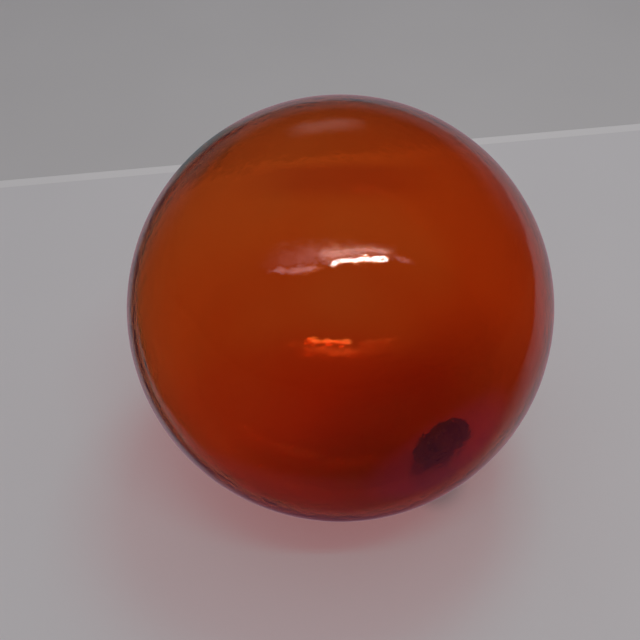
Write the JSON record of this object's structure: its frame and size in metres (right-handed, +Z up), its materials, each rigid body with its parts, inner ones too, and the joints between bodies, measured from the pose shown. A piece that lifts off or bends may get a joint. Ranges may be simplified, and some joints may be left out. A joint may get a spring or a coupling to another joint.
{
  "type": "playground ball",
  "caption": "Round, hollow, see-through inflatable play ball with a flush needle valve.",
  "frame": {"origin": "the ball's centre, 108 mm above the floor that it rests on", "axes": "+Z up, away from the floor; the valve's axis lies in the XZ plane and points out of the ball downwards and towards +X, 35 degrees from straight down"},
  "size_m": [0.216, 0.216, 0.216],
  "materials": {
    "clear_orange_vinyl": "polished",
    "valve_rubber": "satin",
    "core_rubber": "satin"
  },
  "bodies": {
    "ball": {"ball_shell": "clear_orange_vinyl", "valve_patch": "valve_rubber", "valve_housing": "valve_rubber"},
    "core": {"valve_core": "core_rubber"}
  },
  "joints": [
    {"name": "core_pull", "type": "slide", "parent": "ball", "child": "core", "axis": [0.5736, 0, -0.8192], "range_m": [0, 0.0115]}
  ]
}
